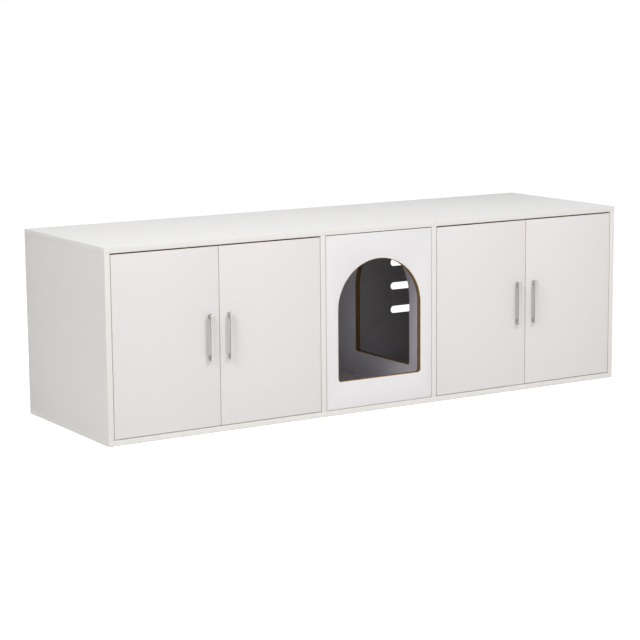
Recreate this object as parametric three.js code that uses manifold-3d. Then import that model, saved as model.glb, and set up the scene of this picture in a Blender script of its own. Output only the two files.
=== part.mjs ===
// Cat litter box cabinet: a long, low white cabinet with three bays. An arched entrance in the middle bay
// and an arched opening through each divider lead to the two side bays, which hold the litter boxes behind
// pairs of inset doors. Every door turns on two concealed cup hinges and is held shut by a magnetic catch.
//
// Millimetres. +Z is up, +X is to the right of someone who faces the doors, +Y is to the back.
// Origin: the centre of the underside.

import * as THREE from "three";
import { mergeVertices } from "three/addons/utils/BufferGeometryUtils.js";
import Module from "manifold-3d";

const wasm = await Module();
wasm.setup();

// ---------------------------------------------------------------- driving dimensions

// Carcass
const LENGTH = 1600;
const DEPTH = 480;
const HEIGHT = 495;
const BOARD = 15; // melamine-faced board, also for the doors
const ENTRANCE_BAY_WIDTH = 336; // clear width between the dividers

// Back panels, let into grooves
const SHEET = 3;
const SHEET_INSET = 8; // from the rear edges to the outer face of the sheet
const GROOVE_DEPTH = 6;
const GROOVE_PLAY = 0.25;

// Arched openings: the entrance, and a slightly wider passage through each divider.
// Sills and tops are heights over the floor.
const ENTRANCE_WIDTH = 261;
const ENTRANCE_SILL = 89;
const ENTRANCE_TOP = 408.5;
const PASSAGE_WIDTH = 272;
const PASSAGE_SILL = 86.5;
const PASSAGE_TOP = 405;
const PASSAGE_SET_BACK = 4; // of its middle, from the middle of the cabinet's depth towards the back
const ARCH_CORNER = 8; // rounding of the two sill corners

// Vent slots in the two side back panels
const SLOT_LENGTH = 270;
const SLOT_HEIGHT = 21;
const SLOT_PITCH = 70;
const SLOT_COUNT = 3;
const VENTS_MIDDLE = 246; // height over the floor of the middle of the slots

// Entrance panel, fixed between the dividers on two cleats
const PANEL_SIDE_GAP = 1.5;
const PANEL_TOP_GAP = 1.5;
const PANEL_BOTTOM_GAP = 1.5;
const CLEAT = 15;
const CLEAT_END_GAP = 40; // from the ends of a cleat to the top and bottom boards

// Doors
const DOOR_SIDE_GAP = 2;
const DOOR_SPLIT_GAP = 2;
const DOOR_TOP_GAP = 3;
const DOOR_BOTTOM_GAP = 2;

// Handles: upright bridge handles
const HANDLE_LENGTH = 118;
const HANDLE_WIDTH = 10;
const HANDLE_BAR = 6; // thickness of the bar, front to back
const HANDLE_LEG = 12;
const HANDLE_STAND_OFF = 16; // from the door to the front of the bar
const HANDLE_FROM_SPLIT = 27; // from the door's free edge to the middle of the handle
const HANDLE_ROUNDING = 2.5; // of the corners where the bar turns into the legs
const HANDLE_CHAMFER = 0.8;

// Hinges: a cup let into the door, and a cranked arm that clasps a mounting plate on the board beside it
const HINGE_INSET = 80; // from a door's upper and lower edge to the middle of the hinge
const CUP_RADIUS = 17.5;
const CUP_RIM = 5; // board left between the cup and the door's edge
const CUP_DEPTH = 12;
const CUP_WALL = 0.9;
const CUP_FLOOR = 0.7;
const CUP_PLAY = 0.2;
const FLANGE = 1.2;
const FLANGE_OVERLAP = 1.4; // how far the flange covers the board round the bore
const FLANGE_SCREWS = 48; // distance between the two flange screws
const FLANGE_SCREW_OFFSET = 6; // of the screw line from the middle of the cup, away from the door's edge
const FLANGE_WING = 12; // width of the flange's wings

const PIN_RADIUS = 1.2;
const PIN_FROM_EDGE = 13.5; // from the door's edge to the pin
const PIN_PLAY = 0.2;
const PIN_LUG = 2.4; // thickness of the lug at each end of the pin
const EYE_WALL = 0.8;
const EYE_PLAY = 0.3; // between the arm's eye and the floor of the cup

const ARM_WIDTH = 12;
const ARM_METAL = 1.6;
const ARM_REACH = 34; // from the board's face to the middle of the part that leaves the cup
const ARM_CROSSING = 26; // from the cabinet's front to the middle of the part that comes back to the board
const ARM_BEND = 3.5;
const ARM_SIDE_PLAY = 0.3;

const PLATE_METAL = 2.2;
const PLATE_LENGTH = 46;
const PLATE_WIDTH = 16;
const PLATE_SCREWS = 32; // distance between the two plate screws
const PLATE_WING = 14;
const SYSTEM_LINE = 37; // from an inset door's back face to the line of the plate screws
const PLATE_LEAD = 10; // how far the plate reaches in front of that line
const RAIL_HEIGHT = 7;
const RAIL_MARGIN = 4; // from the rail's ends to the plate's ends

// Magnetic catches and strike plates
const CATCH_LENGTH = 62;
const CATCH_DEPTH = 15;
const CATCH_HEIGHT = 13;
const CATCH_EAR = 8;
const CATCH_EAR_THICKNESS = 2;
const CATCH_GAP = 0.5; // between a strike plate and the catch
const STRIKE_WIDTH = 26;
const STRIKE_HEIGHT = 14;
const STRIKE_METAL = 1.2;
const STRIKE_FROM_SPLIT = 3;
const STRIKE_BELOW_CATCH = 4; // between the middles of the catch and of the strike plate

// Fineness of round shapes
const ARCH_SEGMENTS = 28;
const CUP_SEGMENTS = 30;
const WING_SEGMENTS = 12;
const PIN_SEGMENTS = 14;
const BEND_SEGMENTS = 4;
const ROUNDING_SEGMENTS = 4;

const OVERCUT = 1; // how far a cutter runs past the faces that it opens
const SAME_POINT = 1e-4; // corners closer than this are one

// ---------------------------------------------------------------- places worked out from them

const FRONT = -DEPTH / 2;
const BACK = DEPTH / 2;
const FLOOR_TOP = BOARD;
const LID_UNDER = HEIGHT - BOARD;
const INSIDE_HEIGHT = LID_UNDER - FLOOR_TOP;
const SIDE_FACE = LENGTH / 2 - BOARD; // inner face of a side board, from the middle
const DIVIDER_INNER = ENTRANCE_BAY_WIDTH / 2;
const DIVIDER_OUTER = DIVIDER_INNER + BOARD;
const SIDE_BAY_WIDTH = SIDE_FACE - DIVIDER_OUTER;
const SIDE_BAY_MIDDLE = (SIDE_FACE + DIVIDER_OUTER) / 2;

const SHEET_MIDDLE = BACK - SHEET_INSET - SHEET / 2;
const GROOVE_WIDTH = SHEET + 2 * GROOVE_PLAY;
const SHEET_LAP = GROOVE_DEPTH - GROOVE_PLAY; // how far a sheet reaches into each groove

const DOOR_HEIGHT = INSIDE_HEIGHT - DOOR_TOP_GAP - DOOR_BOTTOM_GAP;
const DOOR_WIDTH = (SIDE_BAY_WIDTH - 2 * DOOR_SIDE_GAP - DOOR_SPLIT_GAP) / 2;
const DOOR_MIDDLE = FLOOR_TOP + DOOR_BOTTOM_GAP + DOOR_HEIGHT / 2;
const DOOR_FREE_EDGE = DOOR_SIDE_GAP + DOOR_WIDTH; // from the face of the board that carries the door

const HINGE_OFFSETS = { upper: DOOR_HEIGHT / 2 - HINGE_INSET, lower: HINGE_INSET - DOOR_HEIGHT / 2 };
const CUP_MIDDLE = DOOR_SIDE_GAP + CUP_RIM + CUP_RADIUS;
const CUP_BOTTOM = BOARD - CUP_DEPTH;
const PIN_X = DOOR_SIDE_GAP + PIN_FROM_EDGE;
const EYE_RADIUS = PIN_RADIUS + PIN_PLAY + EYE_WALL;
const CUP_UNDERSIDE = CUP_BOTTOM + CUP_PLAY;
const PIN_FROM_FRONT = CUP_UNDERSIDE + CUP_FLOOR + EYE_PLAY + EYE_RADIUS;
const LUG_INNER = ARM_WIDTH / 2 + ARM_SIDE_PLAY;
const LUG_OUTER = LUG_INNER + PIN_LUG;

const PLATE_SCREW_LINE = BOARD + SYSTEM_LINE;
const PLATE_FRONT = PLATE_SCREW_LINE - PLATE_LEAD;
const PLATE_END = PLATE_FRONT + PLATE_LENGTH;
const RAIL_TOP = PLATE_METAL + RAIL_HEIGHT;
const ARM_TOP = RAIL_TOP + ARM_SIDE_PLAY + ARM_METAL / 2; // middle of the metal over the rail

// ---------------------------------------------------------------- materials

const finish = (name, color, roughness, metalness) =>
  new THREE.MeshStandardMaterial({ name, color, roughness, metalness });
const MELAMINE = finish("white melamine-faced board", 0xe9e6e5, 0.45, 0);
const HARDBOARD = finish("white-faced hardboard", 0xdedbd8, 0.6, 0);
const SATIN_NICKEL = finish("satin nickel", 0xb9b5b2, 0.35, 0.9);
const NICKEL_STEEL = finish("nickel-plated steel", 0xc4c2be, 0.28, 1);
const WHITE_PLASTIC = finish("white plastic", 0xf0eeeb, 0.5, 0);

// ---------------------------------------------------------------- solids

// The closed solid inside a geometry, ready to be joined or cut.
function solid(geometry) {
  const bare = geometry.clone();
  bare.deleteAttribute("normal");
  bare.deleteAttribute("uv");
  const merged = mergeVertices(bare, SAME_POINT);
  return new wasm.Manifold(
    new wasm.Mesh({
      numProp: 3,
      vertProperties: new Float32Array(merged.attributes.position.array),
      triVerts: new Uint32Array(merged.index.array),
    }),
  );
}

function geometryOf(body) {
  const mesh = body.getMesh();
  const geometry = new THREE.BufferGeometry();
  geometry.setAttribute("position", new THREE.BufferAttribute(new Float32Array(mesh.vertProperties), 3));
  geometry.setIndex(new THREE.BufferAttribute(new Uint32Array(mesh.triVerts), 1));
  geometry.computeVertexNormals();
  return geometry;
}

// A block between two corners.
function block(x0, x1, y0, y1, z0, z1) {
  const box = new THREE.BoxGeometry(x1 - x0, y1 - y0, z1 - z0);
  return box.translate((x0 + x1) / 2, (y0 + y1) / 2, (z0 + z1) / 2);
}

// A round bar along Y or Z between two ends.
function barAlongY(radius, x, z, y0, y1, segments) {
  return new THREE.CylinderGeometry(radius, radius, y1 - y0, segments).translate(x, (y0 + y1) / 2, z);
}

function barAlongZ(radius, x, y, z0, z1, segments) {
  const bar = new THREE.CylinderGeometry(radius, radius, z1 - z0, segments).rotateX(Math.PI / 2);
  return bar.translate(x, y, (z0 + z1) / 2);
}

// A panel whose outline lies in XY, with its thickness from z0 to z1.
function panelInXY(shape, z0, z1, segments) {
  const sheet = { depth: z1 - z0, bevelEnabled: false, curveSegments: segments };
  return new THREE.ExtrudeGeometry(shape, sheet).translate(0, 0, z0);
}

// A panel whose outline lies in XZ, with its thickness from y0 to y1.
function panelInXZ(shape, y0, y1, segments) {
  return panelInXY(shape, 0, y1 - y0, segments).rotateX(Math.PI / 2).translate(0, y1, 0);
}

// A panel whose outline lies in YZ, with its thickness from x0 to x1.
function panelInYZ(shape, x0, x1, segments) {
  const panel = panelInXY(shape, 0, x1 - x0, segments);
  return panel.rotateX(Math.PI / 2).rotateZ(Math.PI / 2).translate(x0, 0, 0);
}

function rectangle(a0, a1, b0, b1) {
  const shape = new THREE.Shape();
  shape.moveTo(a0, b0);
  shape.lineTo(a1, b0);
  shape.lineTo(a1, b1);
  shape.lineTo(a0, b1);
  shape.closePath();
  return shape;
}

// ---------------------------------------------------------------- outlines

// An arched opening: a flat sill with two rounded corners, straight jambs and a half-round head.
function archOutline(middle, width, sill, top) {
  const radius = width / 2;
  const springing = top - radius;
  const left = middle - radius + ARCH_CORNER;
  const right = middle + radius - ARCH_CORNER;
  const corner = sill + ARCH_CORNER;
  const outline = new THREE.Path();
  outline.moveTo(left, sill);
  outline.lineTo(right, sill);
  outline.absarc(right, corner, ARCH_CORNER, -Math.PI / 2, 0, false);
  outline.absarc(middle, springing, radius, 0, Math.PI, false);
  outline.absarc(left, corner, ARCH_CORNER, Math.PI, 1.5 * Math.PI, false);
  return outline;
}

// A slot with round ends, level.
function slotOutline(middle, height) {
  const radius = SLOT_HEIGHT / 2;
  const reach = SLOT_LENGTH / 2 - radius;
  const outline = new THREE.Path();
  outline.absarc(middle + reach, height, radius, -Math.PI / 2, Math.PI / 2, false);
  outline.absarc(middle - reach, height, radius, Math.PI / 2, 1.5 * Math.PI, false);
  outline.closePath();
  return outline;
}

// Sheet metal seen from its edge: a strip of even thickness along a line of corners, bent round each one.
function bentStrip(corners, bend, metal) {
  const left = [];
  const right = [];
  const half = metal / 2;
  const normal = (from, to) => {
    const along = to.clone().sub(from).normalize();
    return new THREE.Vector2(-along.y, along.x);
  };
  const mark = (centre, direction, toLeft, toRight) => {
    left.push(centre.clone().addScaledVector(direction, toLeft));
    right.push(centre.clone().addScaledVector(direction, toRight));
  };
  const first = normal(corners[0], corners[1]);
  mark(corners[0], first, half, -half);
  for (let i = 1; i < corners.length - 1; i += 1) {
    const before = normal(corners[i - 1], corners[i]);
    const after = normal(corners[i], corners[i + 1]);
    const turn = Math.atan2(before.cross(after), before.dot(after));
    const side = Math.sign(turn);
    // the centre of the bend lies on the side to which the strip turns
    const bisector = before.clone().add(after).normalize();
    const centre = corners[i].clone().addScaledVector(bisector, (side * bend) / Math.cos(turn / 2));
    for (let step = 0; step <= BEND_SEGMENTS; step += 1) {
      const direction = before.clone().rotateAround(new THREE.Vector2(), (turn * step) / BEND_SEGMENTS);
      mark(centre, direction, half - side * bend, -half - side * bend);
    }
  }
  const last = normal(corners.at(-2), corners.at(-1));
  mark(corners.at(-1), last, half, -half);
  return new THREE.Shape([...left, ...right.reverse()]);
}

// ---------------------------------------------------------------- pieces of the carcass

const cabinet = new THREE.Group();

// Each piece gets a material of its own.
function place(parent, name, geometry, material, x = 0, y = 0, z = 0) {
  const mesh = new THREE.Mesh(geometry, material.clone());
  mesh.name = name;
  mesh.position.set(x, y, z);
  parent.add(mesh);
  return mesh;
}

// A level board over the whole length, with the groove for the back panels in the face that looks inward.
function levelBoard(grooveFaceZ, intoBoard) {
  const board = solid(block(-LENGTH / 2, LENGTH / 2, FRONT, BACK, -BOARD / 2, BOARD / 2));
  const clear = grooveFaceZ - intoBoard * OVERCUT;
  const deep = grooveFaceZ + intoBoard * GROOVE_DEPTH;
  const groove = block(
    -LENGTH / 2 - OVERCUT,
    LENGTH / 2 + OVERCUT,
    SHEET_MIDDLE - GROOVE_WIDTH / 2,
    SHEET_MIDDLE + GROOVE_WIDTH / 2,
    Math.min(clear, deep),
    Math.max(clear, deep),
  );
  return geometryOf(board.subtract(solid(groove)));
}

// The upright groove for a back panel in the face of a board at x, cut towards intoBoard (+1 or -1).
function uprightGroove(x, intoBoard) {
  const clear = x - intoBoard * OVERCUT;
  const deep = x + intoBoard * GROOVE_DEPTH;
  return solid(
    block(
      Math.min(clear, deep),
      Math.max(clear, deep),
      SHEET_MIDDLE - GROOVE_WIDTH / 2,
      SHEET_MIDDLE + GROOVE_WIDTH / 2,
      FLOOR_TOP - OVERCUT,
      LID_UNDER + OVERCUT,
    ),
  );
}

// side is -1 on the left and +1 on the right.
function sideBoard(side) {
  const board = solid(block(-BOARD / 2, BOARD / 2, FRONT, BACK, FLOOR_TOP, LID_UNDER));
  return geometryOf(board.subtract(uprightGroove((-side * BOARD) / 2, side)));
}

function divider() {
  const outline = rectangle(FRONT, BACK, FLOOR_TOP, LID_UNDER);
  outline.holes.push(archOutline(PASSAGE_SET_BACK, PASSAGE_WIDTH, PASSAGE_SILL, PASSAGE_TOP));
  const board = solid(panelInYZ(outline, -BOARD / 2, BOARD / 2, ARCH_SEGMENTS));
  const grooves = uprightGroove(-BOARD / 2, 1).add(uprightGroove(BOARD / 2, -1));
  return geometryOf(board.subtract(grooves));
}

function entrancePanel() {
  const half = DIVIDER_INNER - PANEL_SIDE_GAP;
  const outline = rectangle(-half, half, FLOOR_TOP + PANEL_BOTTOM_GAP, LID_UNDER - PANEL_TOP_GAP);
  outline.holes.push(archOutline(0, ENTRANCE_WIDTH, ENTRANCE_SILL, ENTRANCE_TOP));
  return panelInXZ(outline, 0, BOARD, ARCH_SEGMENTS);
}

function backPanel(bayWidth, slots) {
  const half = bayWidth / 2 + SHEET_LAP;
  const outline = rectangle(-half, half, FLOOR_TOP - SHEET_LAP, LID_UNDER + SHEET_LAP);
  for (let i = 0; i < slots; i += 1) {
    outline.holes.push(slotOutline(0, VENTS_MIDDLE + (i - (slots - 1) / 2) * SLOT_PITCH));
  }
  return panelInXZ(outline, -SHEET / 2, SHEET / 2, ROUNDING_SEGMENTS * 2);
}

function cleat() {
  return block(-CLEAT / 2, CLEAT / 2, 0, CLEAT, FLOOR_TOP + CLEAT_END_GAP, LID_UNDER - CLEAT_END_GAP);
}

function buildCarcass() {
  place(cabinet, "bottom_board", levelBoard(BOARD / 2, -1), MELAMINE, 0, 0, BOARD / 2);
  place(cabinet, "top_board", levelBoard(-BOARD / 2, 1), MELAMINE, 0, 0, HEIGHT - BOARD / 2);
  for (const [name, side] of [["left", -1], ["right", 1]]) {
    place(cabinet, `${name}_side_board`, sideBoard(side), MELAMINE, side * (SIDE_FACE + BOARD / 2));
    place(cabinet, `${name}_divider`, divider(), MELAMINE, side * (DIVIDER_INNER + BOARD / 2));
    place(
      cabinet,
      `${name}_back_panel`,
      backPanel(SIDE_BAY_WIDTH, SLOT_COUNT),
      HARDBOARD,
      side * SIDE_BAY_MIDDLE,
      SHEET_MIDDLE,
    );
    const cleatMiddle = side * (DIVIDER_INNER - CLEAT / 2);
    place(cabinet, `${name}_panel_cleat`, cleat(), MELAMINE, cleatMiddle, FRONT + BOARD);
  }
  place(cabinet, "centre_back_panel", backPanel(ENTRANCE_BAY_WIDTH, 0), HARDBOARD, 0, SHEET_MIDDLE);
  place(cabinet, "entrance_panel", entrancePanel(), MELAMINE, 0, FRONT);
}

// ---------------------------------------------------------------- pieces of a door
// A door and its hinges are made for a door that hangs on its left edge. x runs from the face of the board
// that carries it, y from the front of the cabinet and z from the middle of the door or hinge. All of it
// is the same above and below that middle, so half a turn about y gives a door that hangs on its right.

function doorLeaf() {
  let leaf = solid(block(DOOR_SIDE_GAP, DOOR_FREE_EDGE, 0, BOARD, -DOOR_HEIGHT / 2, DOOR_HEIGHT / 2));
  for (const z of Object.values(HINGE_OFFSETS)) {
    const bore = barAlongY(CUP_RADIUS, CUP_MIDDLE, z, CUP_BOTTOM, BOARD + OVERCUT, CUP_SEGMENTS);
    leaf = leaf.subtract(solid(bore));
  }
  return geometryOf(leaf);
}

// The outline of the handle from its side: a bar on two legs, with its outer corners rounded.
function handle() {
  const outline = new THREE.Shape();
  const end = HANDLE_LENGTH / 2;
  const face = HANDLE_STAND_OFF;
  const r = HANDLE_ROUNDING;
  outline.moveTo(0, -end);
  outline.lineTo(face - r, -end);
  outline.absarc(face - r, -end + r, r, -Math.PI / 2, 0, false);
  outline.absarc(face - r, end - r, r, 0, Math.PI / 2, false);
  outline.lineTo(0, end);
  outline.lineTo(0, end - HANDLE_LEG);
  outline.lineTo(face - HANDLE_BAR, end - HANDLE_LEG);
  outline.lineTo(face - HANDLE_BAR, HANDLE_LEG - end);
  outline.lineTo(0, HANDLE_LEG - end);
  outline.closePath();
  const shape = new THREE.ExtrudeGeometry(outline, {
    depth: HANDLE_WIDTH - 2 * HANDLE_CHAMFER,
    bevelEnabled: true,
    bevelSize: HANDLE_CHAMFER,
    bevelThickness: HANDLE_CHAMFER,
    bevelOffset: -HANDLE_CHAMFER,
    bevelSegments: 1,
    curveSegments: ROUNDING_SEGMENTS,
  });
  // the outline's first axis becomes -y, out of the door, and its second one z
  shape.translate(0, 0, HANDLE_CHAMFER - HANDLE_WIDTH / 2);
  return shape.rotateX(Math.PI / 2).rotateZ(-Math.PI / 2);
}

// The hole for the pin, through everything up to reach above and below the middle of the hinge.
function pinHole(reach) {
  const end = reach + OVERCUT;
  return solid(barAlongZ(PIN_RADIUS + PIN_PLAY, PIN_X, PIN_FROM_FRONT, -end, end, PIN_SEGMENTS));
}

function hingeCup() {
  const outside = CUP_RADIUS - CUP_PLAY;
  const inside = outside - CUP_WALL;
  const rim = CUP_RADIUS + FLANGE_OVERLAP;
  const floor = CUP_UNDERSIDE + CUP_FLOOR;
  const top = BOARD + FLANGE;
  const screwLine = CUP_MIDDLE + FLANGE_SCREW_OFFSET;
  const wing = FLANGE_WING / 2;
  const tip = FLANGE_SCREWS / 2;
  let cup = solid(barAlongY(outside, CUP_MIDDLE, 0, CUP_UNDERSIDE, top, CUP_SEGMENTS));
  cup = cup.add(solid(barAlongY(rim, CUP_MIDDLE, 0, BOARD, top, CUP_SEGMENTS)));
  cup = cup.add(solid(block(screwLine - wing, screwLine + wing, BOARD, top, -tip, tip)));
  for (const z of [-tip, tip]) {
    cup = cup.add(solid(barAlongY(wing, screwLine, z, BOARD, top, WING_SEGMENTS)));
  }
  cup = cup.subtract(solid(barAlongY(inside, CUP_MIDDLE, 0, floor, top + OVERCUT, CUP_SEGMENTS)));
  for (const [z0, z1] of [[-LUG_OUTER, -LUG_INNER], [LUG_INNER, LUG_OUTER]]) {
    const lug = block(
      PIN_X - EYE_RADIUS,
      PIN_X + EYE_RADIUS,
      CUP_UNDERSIDE,
      PIN_FROM_FRONT + EYE_RADIUS,
      z0,
      z1,
    );
    cup = cup.add(solid(lug));
  }
  return geometryOf(cup.subtract(pinHole(LUG_OUTER)));
}

function hingePin() {
  return barAlongZ(PIN_RADIUS, PIN_X, PIN_FROM_FRONT, -LUG_OUTER, LUG_OUTER, PIN_SEGMENTS);
}

// The cranked arm: an eye round the pin, a strip that leaves the cup and comes back to the board, and a
// channel that clasps the rail of the mounting plate.
function hingeArm() {
  const half = ARM_WIDTH / 2;
  const line = [
    new THREE.Vector2(PIN_X, PIN_FROM_FRONT),
    new THREE.Vector2(ARM_REACH, PIN_FROM_FRONT),
    new THREE.Vector2(ARM_REACH, ARM_CROSSING),
    new THREE.Vector2(ARM_TOP, ARM_CROSSING),
    new THREE.Vector2(ARM_TOP, PLATE_END),
  ];
  let arm = solid(panelInXY(bentStrip(line, ARM_BEND, ARM_METAL), -half, half, 1));
  arm = arm.add(solid(barAlongZ(EYE_RADIUS, PIN_X, PIN_FROM_FRONT, -half, half, PIN_SEGMENTS)));
  const cheek = new THREE.Shape();
  const lip = PLATE_METAL + ARM_SIDE_PLAY;
  cheek.moveTo(ARM_TOP, ARM_CROSSING + ARM_BEND);
  cheek.lineTo(ARM_TOP, PLATE_END);
  cheek.lineTo(lip + RAIL_MARGIN, PLATE_END);
  cheek.lineTo(lip, PLATE_END - RAIL_MARGIN);
  cheek.lineTo(lip, PLATE_FRONT + RAIL_MARGIN);
  cheek.closePath();
  arm = arm.add(solid(panelInXY(cheek, -half, ARM_METAL - half, 1)));
  arm = arm.add(solid(panelInXY(cheek, half - ARM_METAL, half, 1)));
  return geometryOf(arm.subtract(pinHole(half)));
}

// The mounting plate: a cross with two screw wings, and a raised rail for the arm.
function hingePlate() {
  const tip = PLATE_SCREWS / 2;
  const wing = PLATE_WING / 2;
  const railHalf = ARM_WIDTH / 2 - ARM_METAL - ARM_SIDE_PLAY;
  let plate = solid(block(0, PLATE_METAL, PLATE_FRONT, PLATE_END, -PLATE_WIDTH / 2, PLATE_WIDTH / 2));
  const wings = new THREE.Shape();
  wings.absarc(PLATE_SCREW_LINE, tip, wing, 0, Math.PI, false);
  wings.absarc(PLATE_SCREW_LINE, -tip, wing, Math.PI, 2 * Math.PI, false);
  plate = plate.add(solid(panelInYZ(wings, 0, PLATE_METAL, ROUNDING_SEGMENTS * 2)));
  const rail = block(0, RAIL_TOP, PLATE_FRONT + RAIL_MARGIN, PLATE_END - RAIL_MARGIN, -railHalf, railHalf);
  return geometryOf(plate.add(solid(rail)));
}

// up is +1 where the door's top is at +z, and -1 in the group of a door that hangs on its right.
function strikePlate(up) {
  const free = DOOR_FREE_EDGE - STRIKE_FROM_SPLIT;
  const middle = up * (DOOR_HEIGHT / 2 + DOOR_TOP_GAP - CATCH_HEIGHT / 2 - STRIKE_BELOW_CATCH);
  const half = STRIKE_HEIGHT / 2;
  return block(free - STRIKE_WIDTH, free, BOARD, BOARD + STRIKE_METAL, middle - half, middle + half);
}

// The twin magnetic catch of a pair of doors: a housing with an ear at each end, under the top board.
function magneticCatch() {
  const near = BOARD + STRIKE_METAL + CATCH_GAP;
  const half = CATCH_LENGTH / 2;
  const housing = solid(block(-half, half, near, near + CATCH_DEPTH, -CATCH_HEIGHT, 0));
  const ears = solid(
    block(-half - CATCH_EAR, half + CATCH_EAR, near, near + CATCH_DEPTH, -CATCH_EAR_THICKNESS, 0),
  );
  return geometryOf(housing.add(ears));
}

// ---------------------------------------------------------------- doors and their hardware

// Each door by name: the bay's side, and the edge on which the door hangs (-1 its left, +1 its right).
const DOORS = [
  { name: "left_bay_left", bay: -1, hangs: -1 },
  { name: "left_bay_right", bay: -1, hangs: 1 },
  { name: "right_bay_left", bay: 1, hangs: -1 },
  { name: "right_bay_right", bay: 1, hangs: 1 },
];

function buildDoor({ name, bay, hangs }) {
  const door = new THREE.Group();
  door.position.set(bay * SIDE_BAY_MIDDLE + (hangs * SIDE_BAY_WIDTH) / 2, FRONT, DOOR_MIDDLE);
  door.rotation.y = hangs < 0 ? 0 : Math.PI;
  cabinet.add(door);
  place(door, `${name}_door`, doorLeaf(), MELAMINE);
  place(door, `${name}_handle`, handle(), SATIN_NICKEL, DOOR_FREE_EDGE - HANDLE_FROM_SPLIT, 0, 0);
  for (const [level, height] of Object.entries(HINGE_OFFSETS)) {
    // in the group of a door that hangs on its right, up and down are exchanged
    const z = -hangs * height;
    place(door, `${name}_${level}_hinge_cup`, hingeCup(), NICKEL_STEEL, 0, 0, z);
    place(door, `${name}_${level}_hinge_pin`, hingePin(), NICKEL_STEEL, 0, 0, z);
    place(door, `${name}_${level}_hinge_arm`, hingeArm(), NICKEL_STEEL, 0, 0, z);
    place(door, `${name}_${level}_hinge_plate`, hingePlate(), NICKEL_STEEL, 0, 0, z);
  }
  place(door, `${name}_strike_plate`, strikePlate(-hangs), NICKEL_STEEL);
}

buildCarcass();
for (const door of DOORS) {
  buildDoor(door);
}
for (const [name, side] of [["left", -1], ["right", 1]]) {
  const middle = side * SIDE_BAY_MIDDLE;
  place(cabinet, `${name}_magnetic_catch`, magneticCatch(), WHITE_PLASTIC, middle, FRONT, LID_UNDER);
}

export default cabinet;
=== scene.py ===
"""The looks of a cat litter box cabinet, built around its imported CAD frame.

A long white cabinet of melamine-faced board. The boards, doors, handles and hinges are the frame's own
nodes, which get broken edges and their finishes here. The small fasteners, the pole plates of the magnetic
catches and the cover caps over the cam locks are modelled here.
"""

import math

import bmesh
import bpy
from mathutils import Matrix, Vector


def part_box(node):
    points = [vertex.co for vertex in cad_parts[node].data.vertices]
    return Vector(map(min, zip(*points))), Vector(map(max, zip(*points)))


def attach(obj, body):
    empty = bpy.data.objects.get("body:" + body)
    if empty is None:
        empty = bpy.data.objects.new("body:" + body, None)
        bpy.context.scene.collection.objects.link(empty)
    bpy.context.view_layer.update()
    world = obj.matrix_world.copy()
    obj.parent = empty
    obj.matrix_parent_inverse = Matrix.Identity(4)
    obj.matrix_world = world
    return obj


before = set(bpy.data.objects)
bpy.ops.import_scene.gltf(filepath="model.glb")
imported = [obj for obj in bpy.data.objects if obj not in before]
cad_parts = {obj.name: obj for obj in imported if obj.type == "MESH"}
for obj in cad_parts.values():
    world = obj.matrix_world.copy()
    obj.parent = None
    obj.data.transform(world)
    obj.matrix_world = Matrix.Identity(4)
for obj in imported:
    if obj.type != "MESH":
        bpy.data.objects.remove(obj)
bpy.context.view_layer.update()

# ---------------------------------------------------------------- sizes, in metres

MM = 0.001
BAND = 1.0 * MM  # thickness of the edge band
GLUE_LINE = 0.25 * MM
RAW_EDGE = 0.3 * MM  # how far a bare edge shows round its corners
CORE_DEPTH = 0.05 * MM  # a surface as near as this to a cut is core
CHIPPED_AND_HIGHLIGHT_RING = (0.7 * MM, 1.3 * MM)  # least and most width of the pale ring beside a cut: paper that the router takes off, and a painted highlight on the front arris

# each cut arch: the axis across it, its middle on that axis, radius, sill and springing height
ENTRANCE_ARCH = ("x", 0.0, 130.5 * MM, 89 * MM, 278 * MM)
PASSAGE_ARCH = ("y", 4 * MM, 136 * MM, 86.5 * MM, 269 * MM)
ARCH_CORNER = 8 * MM  # radius of the sill's two corners

# how much is taken off the sharp edges of each kind of piece
BOARD_ARRIS = 0.45 * MM
SHEET_ARRIS = 0.15 * MM
METAL_ARRIS = 0.18 * MM
HANDLE_ARRIS = 0.25 * MM
CATCH_ARRIS = 0.4 * MM
POLE_ARRIS = 0.08 * MM
ARRIS_STEPS = 2
SHARP = math.radians(35)  # an edge that turns by more than this is sharp
FLAT = math.radians(0.5)  # facets that turn by less than this are one face
SAME_POINT = 0.002 * MM

X, Y, Z = Vector((1, 0, 0)), Vector((0, 1, 0)), Vector((0, 0, 1))

DOORS = {  # each door, and the way from the board that carries it to its free edge
    "left_bay_left": 1,
    "left_bay_right": -1,
    "right_bay_left": 1,
    "right_bay_right": -1,
}
LEVELS = ("upper", "lower")
SIDES = {"left": -1, "right": 1}


def middle(node):
    low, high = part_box(node)
    return (low + high) / 2


# ---------------------------------------------------------------- nodes and colours


def linear(hex_colour):
    """An sRGB hex colour as linear RGBA."""
    parts = [int(hex_colour[i : i + 2], 16) / 255 for i in (1, 3, 5)]
    return [c / 12.92 if c <= 0.04045 else ((c + 0.055) / 1.055) ** 2.4 for c in parts] + [1]


def add(tree, kind, sockets=None, **settings):
    """Adds a node. sockets gives each input, by name or number, a value, or a node or output to link."""
    made = tree.nodes.new(kind)
    for setting, value in settings.items():
        setattr(made, setting, value)
    usable = [socket for socket in made.inputs if socket.enabled]
    for key, value in (sockets or {}).items():
        socket = usable[key] if isinstance(key, int) else next(s for s in usable if s.name == key)
        if isinstance(value, bpy.types.Node):
            value = next(output for output in value.outputs if output.enabled)
        if isinstance(value, bpy.types.NodeSocket):
            tree.links.new(value, socket)
        else:
            socket.default_value = value
    return made


def blank_material(name):
    material = bpy.data.materials.new(name)
    material.use_nodes = True
    material.node_tree.nodes.clear()
    return material, material.node_tree


# ---------------------------------------------------------------- materials

THIN_PAPER = 0.985  # how bright the paper is where it is thinnest
BAND_SHADE = "#ebe8e4"
GLUE_SHADE = "#b3aba1"
# the pale ring beside a cut: dust-filled board, and painted highlight
DUSTY_AND_HIGHLIGHT_SHADE = "#e0c9ab"
CORE_SHADES = ("#6b4f2b", "#96774a")


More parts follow.
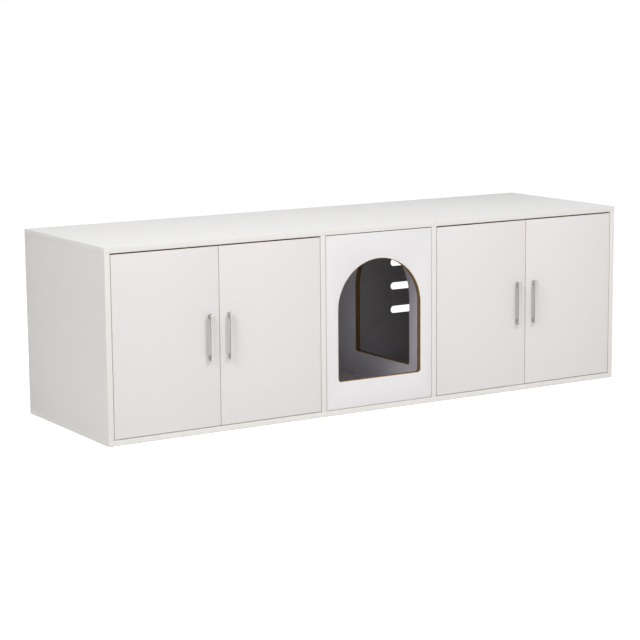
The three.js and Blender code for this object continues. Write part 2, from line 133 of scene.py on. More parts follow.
def melamine_board(name, node, shade, banded=(), bare=(), arch=None):
    """White melamine-faced particle board, pressed against an embossed plate, with edge bands ironed on.

    The eye gets an even off-white with a broad satin sheen and a fine pebble in it, a slightly creamier
    band on each edge with a hairline of glue beside it, and brown chips where the board is cut. shade is
    the colour of the paper. banded and bare name the edges, as ("x", "low"), and arch gives the sizes of
    an opening that is cut through the board.
    """
    material, tree = blank_material(name)
    place = add(tree, "ShaderNodeTexCoord").outputs["Object"]
    axes = add(tree, "ShaderNodeSeparateXYZ", {"Vector": place}).outputs
    low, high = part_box(node)

    def reach_from(edges):
        """How far the surface is from the nearest of some edges."""
        nearest = None
        for axis, end in edges:
            at = "xyz".index(axis)
            face = high[at] if end == "high" else low[at]
            offset = add(tree, "ShaderNodeMath", {0: axes[at], 1: face}, operation="SUBTRACT")
            reach = add(tree, "ShaderNodeMath", {0: offset}, operation="ABSOLUTE")
            if nearest:
                reach = add(tree, "ShaderNodeMath", {0: nearest, 1: reach}, operation="MINIMUM")
            nearest = reach
        return nearest

    # the paper's density: clouds about 60 mm wide, too faint to see as spots
    clouds = add(tree, "ShaderNodeTexNoise", {"Vector": place, "Scale": 1 / (60 * MM), "Detail": 2.0})
    paper = linear(shade)
    thin_paper = [value * THIN_PAPER for value in paper[:3]] + [1]
    colour = add(tree, "ShaderNodeMix", {"Factor": clouds, "A": thin_paper, "B": paper}, data_type="RGBA")

    # the press plate's pebble: about 1.2 mm, drawn at twice its real size so that it shows
    pebble = add(tree, "ShaderNodeTexNoise", {"Vector": place, "Scale": 1 / (2.4 * MM), "Detail": 3.0})
    sheen = add(tree, "ShaderNodeMapRange", {"Value": pebble, "To Min": 0.36, "To Max": 0.5})
    relief = pebble

    if banded:
        reach = reach_from(banded)
        in_band = add(tree, "ShaderNodeMath", {0: reach, 1: BAND}, operation="LESS_THAN")
        to_glue = add(tree, "ShaderNodeMath", {0: reach, 1: BAND + GLUE_LINE}, operation="LESS_THAN")
        in_glue = add(tree, "ShaderNodeMath", {0: to_glue, 1: in_band}, operation="SUBTRACT")
        faint = add(tree, "ShaderNodeMath", {0: in_glue, 1: 0.4}, operation="MULTIPLY")
        band, glue = linear(BAND_SHADE), linear(GLUE_SHADE)
        colour = add(tree, "ShaderNodeMix", {"Factor": in_band, "A": colour, "B": band}, data_type="RGBA")
        colour = add(tree, "ShaderNodeMix", {"Factor": faint, "A": colour, "B": glue}, data_type="RGBA")

    # how far the surface is from each cut, and under 0 beyond it
    cuts = []
    if bare:
        cuts.append(add(tree, "ShaderNodeMath", {0: reach_from(bare), 1: RAW_EDGE}, operation="SUBTRACT"))
    if arch:
        axis, centre, radius, sill, springing = arch
        offset = add(tree, "ShaderNodeMath", {0: axes["xyz".index(axis)], 1: centre}, operation="SUBTRACT")
        across = add(tree, "ShaderNodeMath", {0: offset}, operation="ABSOLUTE")
        rise = add(tree, "ShaderNodeMath", {0: axes[2], 1: springing}, operation="SUBTRACT")
        over = add(tree, "ShaderNodeMath", {0: rise, 1: 0.0}, operation="MAXIMUM")
        spoke = add(tree, "ShaderNodeCombineXYZ", {"X": across, "Y": over})
        to_middle = add(tree, "ShaderNodeVectorMath", {0: spoke}, operation="LENGTH")
        from_jamb = add(tree, "ShaderNodeMath", {0: to_middle, 1: radius}, operation="SUBTRACT")
        # the two rounded corners of the sill
        beyond = add(tree, "ShaderNodeMath", {0: across, 1: radius - ARCH_CORNER}, operation="SUBTRACT")
        beside = add(tree, "ShaderNodeMath", {0: beyond, 1: 0.0}, operation="MAXIMUM")
        drop = add(tree, "ShaderNodeMath", {0: sill + ARCH_CORNER, 1: axes[2]}, operation="SUBTRACT")
        under = add(tree, "ShaderNodeMath", {0: drop, 1: 0.0}, operation="MAXIMUM")
        off_corner = add(tree, "ShaderNodeCombineXYZ", {"X": beside, "Y": under})
        corner = add(tree, "ShaderNodeVectorMath", {0: off_corner}, operation="LENGTH")
        from_sill = add(tree, "ShaderNodeMath", {0: corner, 1: ARCH_CORNER}, operation="SUBTRACT")
        from_cut = add(tree, "ShaderNodeMath", {0: from_jamb, 1: from_sill}, operation="MAXIMUM")
        # a pale ring about 1 mm wide beside the cut: the router takes the paper off down to pale
        # dust-filled board, and the ring is also a painted highlight on the front arris
        ragged = add(tree, "ShaderNodeTexNoise", {"Vector": place, "Scale": 1 / (3 * MM), "Detail": 2.0})
        least, most = CHIPPED_AND_HIGHLIGHT_RING
        spread = {"Value": ragged, "From Min": 0.3, "From Max": 0.7, "To Min": least, "To Max": most}
        chipped_and_highlight_reach = add(tree, "ShaderNodeMapRange", spread)
        in_chipped_and_highlight_ring = add(tree, "ShaderNodeMath", {0: from_cut, 1: chipped_and_highlight_reach}, operation="LESS_THAN")
        dusty_and_highlight = linear(DUSTY_AND_HIGHLIGHT_SHADE)
        colour = add(tree, "ShaderNodeMix", {"Factor": in_chipped_and_highlight_ring, "A": colour, "B": dusty_and_highlight}, data_type="RGBA")
        cuts.append(from_cut)
    if cuts:
        cut = cuts[0]
        for other in cuts[1:]:
            cut = add(tree, "ShaderNodeMath", {0: cut, 1: other}, operation="MINIMUM")
        in_core = add(tree, "ShaderNodeMath", {0: cut, 1: CORE_DEPTH}, operation="LESS_THAN")
        # chips 1 to 3 mm long in the core, from burnt brown to straw, with a fine grit of dust
        chips = add(tree, "ShaderNodeTexVoronoi", {"Vector": place, "Scale": 1 / (2.2 * MM)})
        grit = add(tree, "ShaderNodeTexNoise", {"Vector": place, "Scale": 1 / (0.9 * MM), "Detail": 4.0})
        mixed = add(tree, "ShaderNodeMath", {0: chips.outputs["Color"], 1: grit}, operation="MULTIPLY")
        tone = add(tree, "ShaderNodeMath", {0: mixed, 1: 1.8}, operation="MULTIPLY", use_clamp=True)
        burnt, straw = (linear(chip) for chip in CORE_SHADES)
        core = add(tree, "ShaderNodeMix", {"Factor": tone, "A": burnt, "B": straw}, data_type="RGBA")
        colour = add(tree, "ShaderNodeMix", {"Factor": in_core, "A": colour, "B": core}, data_type="RGBA")
        dull = add(tree, "ShaderNodeMath", {0: in_core, 1: 0.4}, operation="MULTIPLY")
        sheen = add(tree, "ShaderNodeMath", {0: sheen, 1: dull}, operation="ADD")
        coarse = add(tree, "ShaderNodeMath", {0: in_core, 1: 4.0}, operation="MULTIPLY")
        rough = add(tree, "ShaderNodeMath", {0: grit, 1: coarse}, operation="MULTIPLY")
        relief = add(tree, "ShaderNodeMath", {0: relief, 1: rough}, operation="ADD")

    bump = add(tree, "ShaderNodeBump", {"Height": relief, "Strength": 0.35, "Distance": 0.03 * MM})
    shader = add(
        tree,
        "ShaderNodeBsdfPrincipled",
        {"Base Color": colour, "Roughness": sheen, "IOR": 1.5, "Normal": bump},
    )
    add(tree, "ShaderNodeOutputMaterial", {"Surface": shader})
    return material


def lacquered_hardboard():
    """Hardboard, lacquered white and matt, with the press screen's fine weave.

    The eye gets a flat chalky white with a faint cool tint, which is painted shade, and raw brown fibre on
    the sawn edges of the slots.
    """
    material, tree = blank_material("lacquered_hardboard")
    texture = add(tree, "ShaderNodeTexCoord")
    place = texture.outputs["Object"]
    # a sheet's two faces look to the front and the back, and all else on it is sawn
    normal = add(tree, "ShaderNodeSeparateXYZ", {"Vector": texture.outputs["Normal"]}).outputs
    to_front = add(tree, "ShaderNodeMath", {0: normal[1]}, operation="ABSOLUTE")
    sawn = add(tree, "ShaderNodeMath", {0: to_front, 1: 0.5}, operation="LESS_THAN")
    clouds = add(tree, "ShaderNodeTexNoise", {"Vector": place, "Scale": 1 / (40 * MM), "Detail": 3.0})
    # painted shade: both lacquer whites carry a faint cool lilac tint, for the bluish shade inside the
    # cabinet
    thin, full = linear("#dad7dc"), linear("#e1dee4")
    lacquer_with_painted_cool_tint = add(tree, "ShaderNodeMix", {"Factor": clouds, "A": thin, "B": full}, data_type="RGBA")
    fibre = add(tree, "ShaderNodeTexNoise", {"Vector": place, "Scale": 1 / (1.5 * MM), "Detail": 4.0})
    dark, light = linear("#5f452b"), linear("#86663f")
    brown = add(tree, "ShaderNodeMix", {"Factor": fibre, "A": dark, "B": light}, data_type="RGBA")
    colour = add(tree, "ShaderNodeMix", {"Factor": sawn, "A": lacquer_with_painted_cool_tint, "B": brown}, data_type="RGBA")
    # the screen's weave is about 1.5 mm, drawn at 2.5 mm so that it shows
    pitch = {"Vector": place, "Scale": 1 / (2.5 * MM * math.tau)}
    warp = add(tree, "ShaderNodeTexWave", pitch, bands_direction="X")
    weft = add(tree, "ShaderNodeTexWave", pitch, bands_direction="Z")
    threads = {0: warp.outputs["Fac"], 1: weft.outputs["Fac"]}
    weave = add(tree, "ShaderNodeMath", threads, operation="MULTIPLY")
    bump = add(tree, "ShaderNodeBump", {"Height": weave, "Strength": 0.3, "Distance": 0.05 * MM})
    shader = add(
        tree,
        "ShaderNodeBsdfPrincipled",
        {"Base Color": colour, "Roughness": 0.62, "IOR": 1.5, "Normal": bump},
    )
    add(tree, "ShaderNodeOutputMaterial", {"Surface": shader})
    return material


def brushed_satin_nickel():
    """Zinc die casting, brushed along its length and nickel plated, then clear lacquered.

    The eye gets a soft silver-grey with fine upright streaks, and a bright line along each chamfer.
    """
    material, tree = blank_material("brushed_satin_nickel")
    place = add(tree, "ShaderNodeTexCoord").outputs["Object"]
    # brush marks: 0.3 mm wide and 40 mm long
    marks_per_metre = (1 / (0.3 * MM), 1 / (0.3 * MM), 1 / (40 * MM))
    stretched = add(tree, "ShaderNodeMapping", {"Vector": place, "Scale": marks_per_metre})
    marks = add(tree, "ShaderNodeTexNoise", {"Vector": stretched, "Scale": 1.0, "Detail": 2.0})
    dark, light = linear("#b2afac"), linear("#c7c4c1")
    tint = add(tree, "ShaderNodeMix", {"Factor": marks, "A": dark, "B": light}, data_type="RGBA")
    rough = add(tree, "ShaderNodeMapRange", {"Value": marks, "To Min": 0.3, "To Max": 0.45})
    bump = add(tree, "ShaderNodeBump", {"Height": marks, "Strength": 0.15, "Distance": 0.01 * MM})
    shader = add(
        tree,
        "ShaderNodeBsdfPrincipled",
        {"Base Color": tint, "Metallic": 1.0, "Roughness": rough, "Normal": bump},
    )
    add(tree, "ShaderNodeOutputMaterial", {"Surface": shader})
    return material


def plated_steel(name, dull, bright, smooth, worn, grain):
    """Pressed steel, barrel plated.

    The eye gets a bright cold metal with a slightly uneven gloss, because the plating copies the metal
    under it. dull and bright are its two colours, smooth and worn the roughness between which its gloss
    wanders, and grain the width of that unevenness in metres.
    """
    material, tree = blank_material(name)
    place = add(tree, "ShaderNodeTexCoord").outputs["Object"]
    patches = add(tree, "ShaderNodeTexNoise", {"Vector": place, "Scale": 1 / grain, "Detail": 4.0})
    dark, light = linear(dull), linear(bright)
    tint = add(tree, "ShaderNodeMix", {"Factor": patches, "A": dark, "B": light}, data_type="RGBA")
    rough = add(tree, "ShaderNodeMapRange", {"Value": patches, "To Min": smooth, "To Max": worn})
    bump = add(tree, "ShaderNodeBump", {"Height": patches, "Strength": 0.2, "Distance": 0.02 * MM})
    shader = add(
        tree,
        "ShaderNodeBsdfPrincipled",
        {"Base Color": tint, "Metallic": 1.0, "Roughness": rough, "Normal": bump},
    )
    add(tree, "ShaderNodeOutputMaterial", {"Surface": shader})
    return material


def moulded_polypropylene():
    """White polypropylene, moulded in a spark-eroded tool.

    The eye gets a matt milky white with a fine grained skin.
    """
    material, tree = blank_material("moulded_polypropylene")
    place = add(tree, "ShaderNodeTexCoord").outputs["Object"]
    # spark grain: about 0.2 mm, drawn at 0.6 mm so that it shows
    grain = add(tree, "ShaderNodeTexNoise", {"Vector": place, "Scale": 1 / (0.6 * MM), "Detail": 2.0})
    dark, light = linear("#eae8e5"), linear("#f1efec")
    tint = add(tree, "ShaderNodeMix", {"Factor": grain, "A": dark, "B": light}, data_type="RGBA")
    bump = add(tree, "ShaderNodeBump", {"Height": grain, "Strength": 0.25, "Distance": 0.02 * MM})
    shader = add(
        tree,
        "ShaderNodeBsdfPrincipled",
        {"Base Color": tint, "Roughness": 0.48, "IOR": 1.49, "Normal": bump},
    )
    add(tree, "ShaderNodeOutputMaterial", {"Surface": shader})
    return material


# ---------------------------------------------------------------- finishes on the frame's nodes


def geometry_group(name, build):
    """A geometry node group with one geometry in and one out."""
    group = bpy.data.node_groups.new(name, "GeometryNodeTree")
    group.interface.new_socket("Geometry", in_out="INPUT", socket_type="NodeSocketGeometry")
    group.interface.new_socket("Geometry", in_out="OUTPUT", socket_type="NodeSocketGeometry")
    start = add(group, "NodeGroupInput")
    add(group, "NodeGroupOutput", {"Geometry": build(group, start)})
    return group


def join_corners(group, facets):
    """Joins the facets at their corners and drops their flat normals, so that edges can be broken."""
    bare = add(group, "GeometryNodeRemoveAttribute", {"Geometry": facets, "Name": "custom_normal"})
    return add(group, "GeometryNodeMergeByDistance", {"Geometry": bare, "Distance": SAME_POINT})


def smooth_curves(group, facets):
    """Shades round faces as round, and keeps the edges sharp."""
    rounded = add(group, "GeometryNodeSetShadeSmooth", {0: facets}, domain="FACE")
    turn = add(group, "GeometryNodeInputMeshEdgeAngle")
    gentle = add(group, "FunctionNodeCompare", {"A": turn, "B": SHARP}, operation="LESS_THAN")
    return add(group, "GeometryNodeSetShadeSmooth", {0: rounded, "Shade Smooth": gentle}, domain="EDGE")


JOIN_CORNERS = geometry_group("join_corners", join_corners)
SMOOTH_CURVES = geometry_group("smooth_curves", smooth_curves)


def break_edges(piece, arris):
    """Takes the sharpness off a piece's edges, as sanding, banding or tumbling does."""
    piece.modifiers.new("join_corners", "NODES").node_group = JOIN_CORNERS
    flat = piece.modifiers.new("flat_faces", "DECIMATE")
    flat.decimate_type = "DISSOLVE"
    flat.angle_limit = FLAT
    bevel = piece.modifiers.new("arris", "BEVEL")
    bevel.width = arris
    bevel.segments = ARRIS_STEPS
    bevel.limit_method = "ANGLE"
    bevel.angle_limit = SHARP
    bevel.use_clamp_overlap = True
    piece.modifiers.new("smooth_curves", "NODES").node_group = SMOOTH_CURVES


def dress(node, material, arris):
    """Gives one of the frame's nodes its finish and its broken edges."""
    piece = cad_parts[node]
    piece.data.materials.clear()
    piece.data.materials.append(material)
    break_edges(piece, arris)


def dress_board(node, name, shade, **edges):
    """Gives a board a melamine of its own, because each board is banded and cut in its own way."""
    dress(node, melamine_board(f"melamine_{name}", node, shade, **edges), BOARD_ARRIS)


NICKEL = plated_steel("nickel_plated_steel", "#c9c6c1", "#dedbd6", 0.2, 0.34, 7 * MM)
PIN_STEEL = plated_steel("bright_drawn_steel", "#bcbab7", "#cfcdca", 0.18, 0.28, 3 * MM)
SCREW_STEEL = plated_steel("zinc_plated_screw_steel", "#c2c3c4", "#dcdddf", 0.22, 0.38, 2 * MM)
HANDLE_METAL = brushed_satin_nickel()
HARDBOARD = lacquered_hardboard()
PLASTIC = moulded_polypropylene()

FRONT_EDGE = ("y", "low")
REAR_EDGE = ("y", "high")
ENDS = [("x", "low"), ("x", "high")]
UPPER_EDGE = ("z", "high")
LOWER_EDGE = ("z", "low")

# the boards' whites, one for each kind of board, which differ by a hair; the inner and panel whites hold
# painted light
LID_SHADE = "#e9e8e6"
SIDE_SHADE = "#e9e5e2"
FRONT_SHADE = "#e9e5e4"
# painted light and shade: the dividers' and cleats' white is lighter, for more light inside, and cooler,
# for the bluish tint of the shade there
INNER_WHITE_PAINTED_LIGHTER_AND_COOLER = "#edeaf2"
# painted light: the entrance panel's white is lighter and a touch cooler than the doors', for the brighter
# light on the middle of the front
PANEL_WHITE_PAINTED_LIGHTER = "#edebeb"

for node in ("bottom_board", "top_board"):
    dress_board(node, node, LID_SHADE, banded=[FRONT_EDGE, *ENDS], bare=[REAR_EDGE])
for side in SIDES:
    edges = {"banded": [FRONT_EDGE], "bare": [REAR_EDGE]}
    dress_board(f"{side}_side_board", f"{side}_side", SIDE_SHADE, **edges)
    dress_board(f"{side}_divider", f"{side}_divider", INNER_WHITE_PAINTED_LIGHTER_AND_COOLER, **edges, arch=PASSAGE_ARCH)
    dress_board(f"{side}_panel_cleat", f"{side}_cleat", INNER_WHITE_PAINTED_LIGHTER_AND_COOLER, bare=[UPPER_EDGE, LOWER_EDGE])
# the upper edges of the panel and the doors get the bare board's brown core, as painted shade for the dark
# gap under the top board
edges = {"banded": [*ENDS, LOWER_EDGE], "bare": [UPPER_EDGE]}
dress_board("entrance_panel", "entrance", PANEL_WHITE_PAINTED_LIGHTER, **edges, arch=ENTRANCE_ARCH)
for bay in ("left", "centre", "right"):
    dress(f"{bay}_back_panel", HARDBOARD, SHEET_ARRIS)
for side in SIDES:
    dress(f"{side}_magnetic_catch", PLASTIC, CATCH_ARRIS)
for door in DOORS:
    # painted shade: each door's upper edge is brown core, for the dark gap under the top board
    dress_board(f"{door}_door", f"{door}_door", FRONT_SHADE, **edges)
    dress(f"{door}_handle", HANDLE_METAL, HANDLE_ARRIS)
    dress(f"{door}_strike_plate", NICKEL, METAL_ARRIS)
    for level in LEVELS:
        for part in ("cup", "arm", "plate"):
            dress(f"{door}_{level}_hinge_{part}", NICKEL, METAL_ARRIS)
        dress(f"{door}_{level}_hinge_pin", PIN_STEEL, METAL_ARRIS)

# ---------------------------------------------------------------- small pieces

SCREW_SEAT = 0.3 * MM  # how far a screw head reaches into what carries it
CAP_SEAT = 0.1 * MM
LENS = 0.55 * MM  # height of a countersunk screw's lens over the sheet


def turned(profile, steps=28):
    """A round solid about Z from its half profile: (radius, height) pairs, first and last on the axis."""
    body = bmesh.new()
    rings = []
    for radius, height in profile:
        if radius == 0:
            rings.append([body.verts.new((0, 0, height))])
            continue
        turns = [math.tau * i / steps for i in range(steps)]
        rings.append([body.verts.new((radius * math.cos(t), radius * math.sin(t), height)) for t in turns])
    for lower, upper in zip(rings, rings[1:]):
        for i in range(steps):
            j = (i + 1) % steps
            corners = [lower[i % len(lower)], lower[j % len(lower)]]
            corners += [upper[j % len(upper)], upper[i % len(upper)]]
            unique = list(dict.fromkeys(corners))
            if len(unique) > 2:
                body.faces.new(unique)
    bmesh.ops.recalc_face_normals(body, faces=body.faces)
    return body


def mesh_of(body, name, material):
    mesh = bpy.data.meshes.new(name)
    body.to_mesh(mesh)
    body.free()
    mesh.materials.append(material)
    return mesh


def cut_recess(head, span, width, depth, top):
    """A head with a cross recess: two tapering slots, cut with a boolean that is applied at once."""
    cutter = bmesh.new()
    for turn in (0, math.pi / 2):
        bar = bmesh.ops.create_cube(cutter, size=1)["verts"]
        bmesh.ops.scale(cutter, verts=bar, vec=(span, width, 2 * depth))
        for corner in bar:
            if corner.co.z < 0:
                corner.co.x *= 0.45
                corner.co.y *= 0.6
        bmesh.ops.rotate(cutter, verts=bar, cent=(0, 0, 0), matrix=Matrix.Rotation(turn, 3, "Z"))
        bmesh.ops.translate(cutter, verts=bar, vec=(0, 0, top))
    tool = bpy.data.objects.new("recess_tool", mesh_of(cutter, "recess_tool", SCREW_STEEL))
    blank = bpy.data.objects.new("screw_blank", head)
    for thing in (tool, blank):
        bpy.context.scene.collection.objects.link(thing)
    cut = blank.modifiers.new("recess", "BOOLEAN")
    cut.operation = "DIFFERENCE"
    cut.solver = "EXACT"
    cut.use_self = True
    cut.object = tool
    depsgraph = bpy.context.evaluated_depsgraph_get()
    made = bpy.data.meshes.new_from_object(blank.evaluated_get(depsgraph))
    for thing in (tool, blank):
        bpy.data.objects.remove(thing)
    return made


def pan_head(radius, height):
    """A pan-head screw seen from outside: a flat domed head with a rounded rim and a cross recess."""
    profile = [
        (0, -SCREW_SEAT),
        (radius * 0.96, -SCREW_SEAT),
        (radius, 0.1 * height),
        (radius * 0.99, 0.42 * height),
        (radius * 0.9, 0.72 * height),
        (radius * 0.66, 0.92 * height),
        (radius * 0.3, height),
        (0, height),
    ]
    head = mesh_of(turned(profile), "pan_head", SCREW_STEEL)
    return cut_recess(head, radius * 1.1, radius * 0.28, 0.62 * height, height)


def countersunk_head(radius):
    """A countersunk screw in sheet metal: a low lens head with a cross recess."""
    profile = [
        (0, -SCREW_SEAT),
        (radius, -SCREW_SEAT),
        (radius, 0.1 * MM),
        (radius * 0.8, 0.34 * MM),
        (radius * 0.45, 0.5 * MM),
        (0, LENS),
    ]
    head = mesh_of(turned(profile), "countersunk_head", SCREW_STEEL)
    return cut_recess(head, radius * 1.1, radius * 0.26, 0.5 * MM, LENS)


def cover_cap(radius, height):
    """A cover cap over a cam lock: a thin plastic disc with a rounded rim."""
    profile = [
        (0, -CAP_SEAT),
        (radius * 0.98, -CAP_SEAT),
        (radius, 0.25 * height),
        (radius * 0.97, 0.65 * height),
        (radius * 0.9, 0.92 * height),
        (radius * 0.8, height),
        (radius * 0.3, 1.05 * height),
        (0, 1.06 * height),
    ]
    return mesh_of(turned(profile, 40), "cover_cap", PLASTIC)


def pole_plates(width, thickness, apart, proud):
    """The two steel plates that carry a magnet's pull to its face: thin bars with rounded corners."""
    plates = bmesh.new()
    for side in (-1, 1):
        bar = bmesh.ops.create_cube(plates, size=1)["verts"]
        bmesh.ops.scale(plates, verts=bar, vec=(width, thickness, 2 * proud))
        bmesh.ops.translate(plates, verts=bar, vec=(0, side * apart / 2, 0))
    rounding = {"offset": POLE_ARRIS, "segments": ARRIS_STEPS, "profile": 0.5}
    bmesh.ops.bevel(plates, geom=plates.edges[:], affect="EDGES", **rounding)
    return mesh_of(plates, "pole_plates", NICKEL)


def fasten(name, mesh, at, out, body, turn=0.0):
    """Puts a small piece at a point, facing out of the surface there, on one of the frame's bodies.

    turn, in radians, is how its recess happens to stand.
    """
    piece = bpy.data.objects.new(name, mesh)
    bpy.context.scene.collection.objects.link(piece)
    facing = out.to_track_quat("Z", "Y").to_matrix().to_4x4()
    piece.matrix_world = Matrix.Translation(at) @ facing @ Matrix.Rotation(turn, 4, "Z")
    piece.modifiers.new("smooth_curves", "NODES").node_group = SMOOTH_CURVES
    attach(piece, body)


HANDLE_SCREW = pan_head(4.2 * MM, 2.4 * MM)
PLATE_SCREW = pan_head(3.4 * MM, 2.0 * MM)
ARM_SCREW = pan_head(3.0 * MM, 1.7 * MM)
CATCH_SCREW = pan_head(2.8 * MM, 1.6 * MM)
CUP_SCREW = countersunk_head(3.6 * MM)  # the cleats have the same one
STRIKE_SCREW = countersunk_head(2.9 * MM)
CAM_CAP = cover_cap(8.5 * MM, 0.9 * MM)
POLE_PLATES = pole_plates(16 * MM, 1.4 * MM, 6 * MM, 0.25 * MM)

HANDLE_LEG = 12 * MM  # height of a handle's leg, which has its screw in the middle
STRIKE_SCREWS = (0.25, 0.75)  # as shares of the strike plate's length
FLANGE_SCREW_OFFSET = 6 * MM  # from the middle of the cup, away from the board that carries the door
FLANGE_SCREW_RISE = 24 * MM  # over and under the middle of the cup
PLATE_METAL = 2.2 * MM  # from the board to the outside of the mounting plate's wings
PLATE_LEAD = 10 * MM  # from the front of the mounting plate to its screws
PLATE_SCREW_RISE = 16 * MM
ARM_SCREWS = {"adjusting": 14.5 * MM, "fixing": 46.5 * MM}  # from the front of the arm's channel
ARM_CHANNEL = 30.5 * MM  # from a door's front to the front of the channel
ARM_OUTSIDE = 11.1 * MM  # from the board to the outside of the channel
CATCH_SCREW_INSET = 4 * MM  # from the end of a catch
CATCH_SCREW_DROP = 2 * MM  # from the top board to the underside of a catch's ears
MAGNET_OFFSET = 17 * MM  # from the middle of a twin catch to each of its magnets
# where the cam locks are, as how far back and how high
CAM_LOCKS = [(-160 * MM, 39 * MM), (180 * MM, 39 * MM), (-160 * MM, 456 * MM), (180 * MM, 456 * MM)]
CLEAT_REAR_PITCH = 150 * MM
CLEAT_SIDE_PITCH = 135 * MM
CLEAT_SIDE_RISE = 20 * MM  # how much higher the three side screws sit as a row than the middle of the cleat

for door, away in DOORS.items():
    leaf = f"{door}_leaf"
    low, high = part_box(f"{door}_handle")
    door_low, door_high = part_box(f"{door}_door")
    for i, z in enumerate((low.z + HANDLE_LEG / 2, high.z - HANDLE_LEG / 2)):
        at = Vector(((low.x + high.x) / 2, door_high.y, z))
        fasten(f"{door}_handle_screw_{i + 1}", HANDLE_SCREW, at, Y, leaf, turn=0.3 + 0.9 * i)
    low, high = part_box(f"{door}_strike_plate")
    for i, share in enumerate(STRIKE_SCREWS):
        at = Vector((low.x + share * (high.x - low.x), high.y, (low.z + high.z) / 2))
        fasten(f"{door}_strike_screw_{i + 1}", STRIKE_SCREW, at, Y, leaf, turn=0.5 + i)
    for level in LEVELS:
        hinge = f"{door}_{level}_hinge"
        cup = middle(f"{hinge}_cup")
        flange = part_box(f"{hinge}_cup")[1].y
        plate_low, plate_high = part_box(f"{hinge}_plate")
        board_face = plate_low.x if away > 0 else plate_high.x
        wing_face = board_face + away * PLATE_METAL
        for i, way in enumerate((-1, 1)):
            at = Vector((cup.x + away * FLANGE_SCREW_OFFSET, flange, cup.z + way * FLANGE_SCREW_RISE))
            fasten(f"{hinge}_cup_screw_{i + 1}", CUP_SCREW, at, Y, leaf, turn=0.2 + 0.7 * i)
            at = Vector((wing_face, plate_low.y + PLATE_LEAD, cup.z + way * PLATE_SCREW_RISE))
            fasten(f"{hinge}_plate_screw_{i + 1}", PLATE_SCREW, at, away * X, "carcass", turn=0.6 * i)
        for use, along in ARM_SCREWS.items():
            at = Vector((board_face + away * ARM_OUTSIDE, door_low.y + ARM_CHANNEL + along, cup.z))
            fasten(f"{hinge}_{use}_screw", ARM_SCREW, at, away * X, "carcass", turn=40 * along)

for side, way in SIDES.items():
    low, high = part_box(f"{side}_magnetic_catch")
    for i, x in enumerate((low.x + CATCH_SCREW_INSET, high.x - CATCH_SCREW_INSET)):
        at = Vector((x, (low.y + high.y) / 2, high.z - CATCH_SCREW_DROP))
        fasten(f"{side}_catch_screw_{i + 1}", CATCH_SCREW, at, -Z, "carcass", turn=0.4 + i)
    for i, step in enumerate((-MAGNET_OFFSET, MAGNET_OFFSET)):
        at = Vector(((low.x + high.x) / 2 + step, low.y, (low.z + high.z) / 2))
        fasten(f"{side}_pole_plates_{i + 1}", POLE_PLATES, at, -Y, "carcass")

    # caps over the cam locks that draw the boards together, in the side bays
    for board, outward in ((f"{side}_side_board", -way), (f"{side}_divider", way)):
        low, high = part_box(board)
        x = high.x if outward > 0 else low.x
        for i, (y, z) in enumerate(CAM_LOCKS):
            cap = f"{board}_cam_cap_{i + 1}"
            fasten(cap, CAM_CAP, Vector((x, y, z)), outward * X, "carcass")

    # each cleat is screwed to the entrance panel and to the divider
    low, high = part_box(f"{side}_panel_cleat")
    centre = (low + high) / 2
    inward = Vector((low.x if way > 0 else high.x, centre.y, centre.z))
    for i, step in enumerate((-1, 0, 1)):
        at = Vector((centre.x, high.y, centre.z + step * CLEAT_REAR_PITCH))
        fasten(f"{side}_cleat_rear_screw_{i + 1}", CUP_SCREW, at, Y, "carcass", turn=0.8 * i)
        at = inward + Z * (step * CLEAT_SIDE_PITCH + CLEAT_SIDE_RISE)
        fasten(f"{side}_cleat_side_screw_{i + 1}", CUP_SCREW, at, -way * X, "carcass", turn=0.5 + 0.9 * i)

# ---------------------------------------------------------------- stage, light and camera

# solved from the outline of the cabinet in the photograph
CAMERA_AT = Vector((-2.8499, -4.5493, 1.1042))
CAMERA_AIM = Vector((-0.1013, -0.1021, 0.2334))
CAMERA_ROLL = math.radians(-0.46)
CAMERA_LENS = 111.06

FLOOR_REACH = 200.0
FLOOR_DROP = 0.2 * MM  # clear of the cabinet's underside, so that no two faces are one
PAPER_GLOW = 0.73  # lifts the paper to white where it is seen
SURROUNDINGS = 0.36  # the light that comes from all round
HEART = Vector((0, 0, 0.25))  # what the softboxes are aimed at
SOFTBOXES = {  # where each stands, its width and its height, and its power in watts
    "key_softbox": ((0.94, -2.89, 2.63), 0.5, 0.5, 47),
    "left_softbox": ((-2.6, -1.6, 2.4), 1.4, 1.4, 33),
    "front_softbox": ((-1.6, -3.4, 1.5), 1.4, 1.4, 6),
    "top_softbox": ((-0.8, 0.2, 3.0), 1.6, 1.2, 15),
    "right_softbox": ((3.0, -0.7, 2.1), 0.8, 0.8, 2),
}


def aimed(at, aim):
    """The place of a camera or a lamp that stands at one point and looks at another."""
    return Matrix.Translation(at) @ (aim - at).to_track_quat("-Z", "Y").to_matrix().to_4x4()


def seen_directly(tree):
    """1 where the camera, a reflection or a view through something looks, and 0 for light that falls."""
    path = add(tree, "ShaderNodeLightPath").outputs
    looks = {0: path["Is Glossy Ray"], 1: path["Is Transmission Ray"]}
    mirrored = add(tree, "ShaderNodeMath", looks, operation="MAXIMUM")
    return add(tree, "ShaderNodeMath", {0: path["Is Camera Ray"], 1: mirrored}, operation="MAXIMUM")


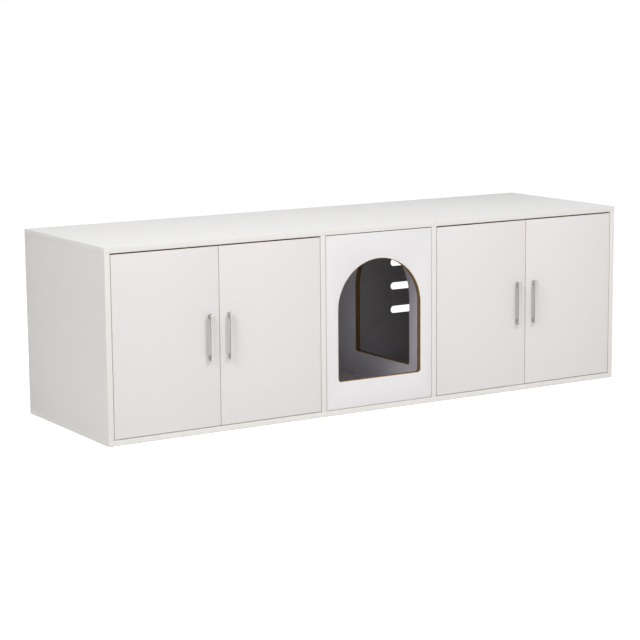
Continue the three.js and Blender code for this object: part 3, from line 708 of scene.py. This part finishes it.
def studio_world(level):
    """Even white surroundings: 1 where they are seen, and level as the light that they give."""
    world = bpy.data.worlds.new("studio")
    world.use_nodes = True
    tree = world.node_tree
    tree.nodes.clear()
    levels = {"Factor": seen_directly(tree), "A": level, "B": 1.0}
    strength = add(tree, "ShaderNodeMix", levels, data_type="FLOAT")
    light = add(tree, "ShaderNodeBackground", {"Color": (1, 1, 1, 1), "Strength": strength})
    add(tree, "ShaderNodeOutputWorld", {"Surface": light})
    bpy.context.scene.world = world


def studio_paper():
    """Seamless white paper: a floor that is white to the eye and keeps a soft shadow."""
    material, tree = blank_material("studio_paper")
    paper = add(tree, "ShaderNodeBsdfDiffuse", {"Color": linear("#ececec")})
    glow = add(tree, "ShaderNodeEmission", {"Color": (1, 1, 1, 1), "Strength": PAPER_GLOW})
    lifted = add(tree, "ShaderNodeAddShader", {0: paper, 1: glow})
    shown = add(tree, "ShaderNodeMixShader", {0: seen_directly(tree), 1: paper, 2: lifted})
    add(tree, "ShaderNodeOutputMaterial", {"Surface": shown})
    return material


def softbox(name, at, width, height, power):
    light = bpy.data.lights.new(name, "AREA")
    light.shape = "RECTANGLE"
    light.size = width
    light.size_y = height
    light.energy = power
    lamp = bpy.data.objects.new(name, light)
    lamp.matrix_world = aimed(Vector(at), HEART)
    bpy.context.scene.collection.objects.link(lamp)


camera = bpy.data.objects.new("camera", bpy.data.cameras.new("camera"))
camera.data.lens = CAMERA_LENS
camera.matrix_world = aimed(CAMERA_AT, CAMERA_AIM) @ Matrix.Rotation(CAMERA_ROLL, 4, "Z")
bpy.context.scene.collection.objects.link(camera)
bpy.context.scene.camera = camera

sheet = bmesh.new()
bmesh.ops.create_grid(sheet, x_segments=1, y_segments=1, size=FLOOR_REACH)
floor = bpy.data.objects.new("floor", mesh_of(sheet, "floor", studio_paper()))
floor.location.z = -FLOOR_DROP
bpy.context.scene.collection.objects.link(floor)

studio_world(SURROUNDINGS)
for name, (at, width, height, power) in SOFTBOXES.items():
    softbox(name, at, width, height, power)

bpy.context.scene.view_settings.view_transform = "Standard"
